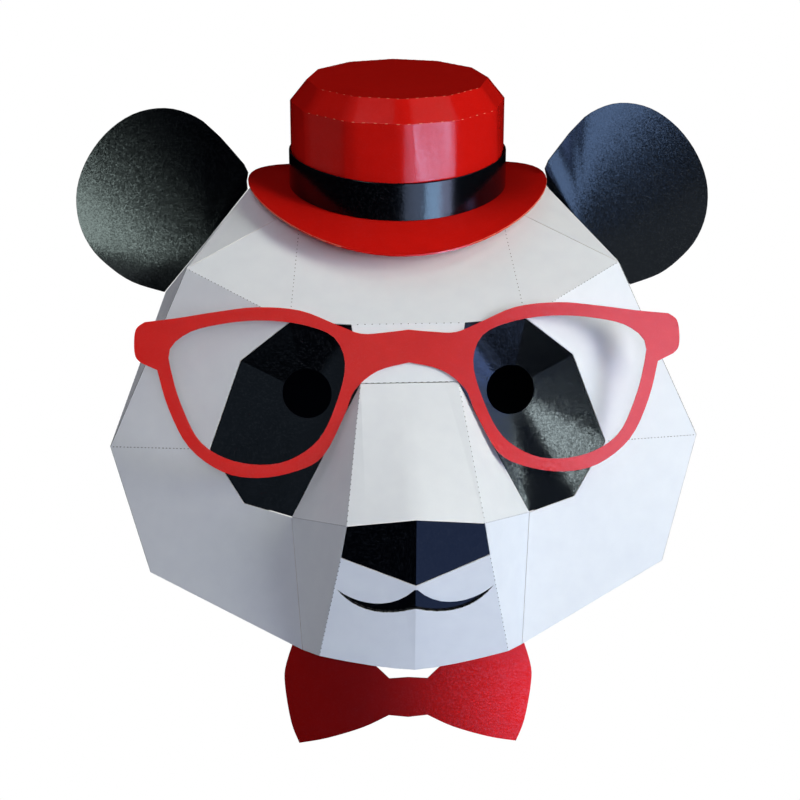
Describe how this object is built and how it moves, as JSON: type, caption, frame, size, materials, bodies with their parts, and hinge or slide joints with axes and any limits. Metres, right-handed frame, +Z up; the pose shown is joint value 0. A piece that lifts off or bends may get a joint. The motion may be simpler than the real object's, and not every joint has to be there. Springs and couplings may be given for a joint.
{
  "type": "folded card animal mask",
  "caption": "Faceted panda head mask of folded card with a small brimmed hat, cut-out glasses and a bow tie.",
  "frame": {"origin": "where the crown of the wearer's head meets the inner face of the top panel", "axes": "+Z up, the face looks along -Y, +X is to the right of a viewer in front of the mask"},
  "size_m": [0.3322, 0.247, 0.332],
  "materials": {
    "white_card": "matt white card",
    "black_card": "pearlescent black card",
    "red_card": "pearlescent red card"
  },
  "bodies": {
    "root": {"face": "white_card", "muzzle": "white_card", "nose": "black_card", "mouth_backing": "black_card", "eye_patch_left": "black_card", "eye_patch_right": "black_card", "head_side_left": "white_card", "head_side_right": "white_card", "head_top": "white_card", "head_back": "white_card", "ear_left": "black_card", "ear_right": "black_card", "hat_crown": "red_card", "hat_band": "black_card", "hat_brim": "red_card", "glasses": "red_card", "bow_tie": "red_card"}
  },
  "joints": []
}
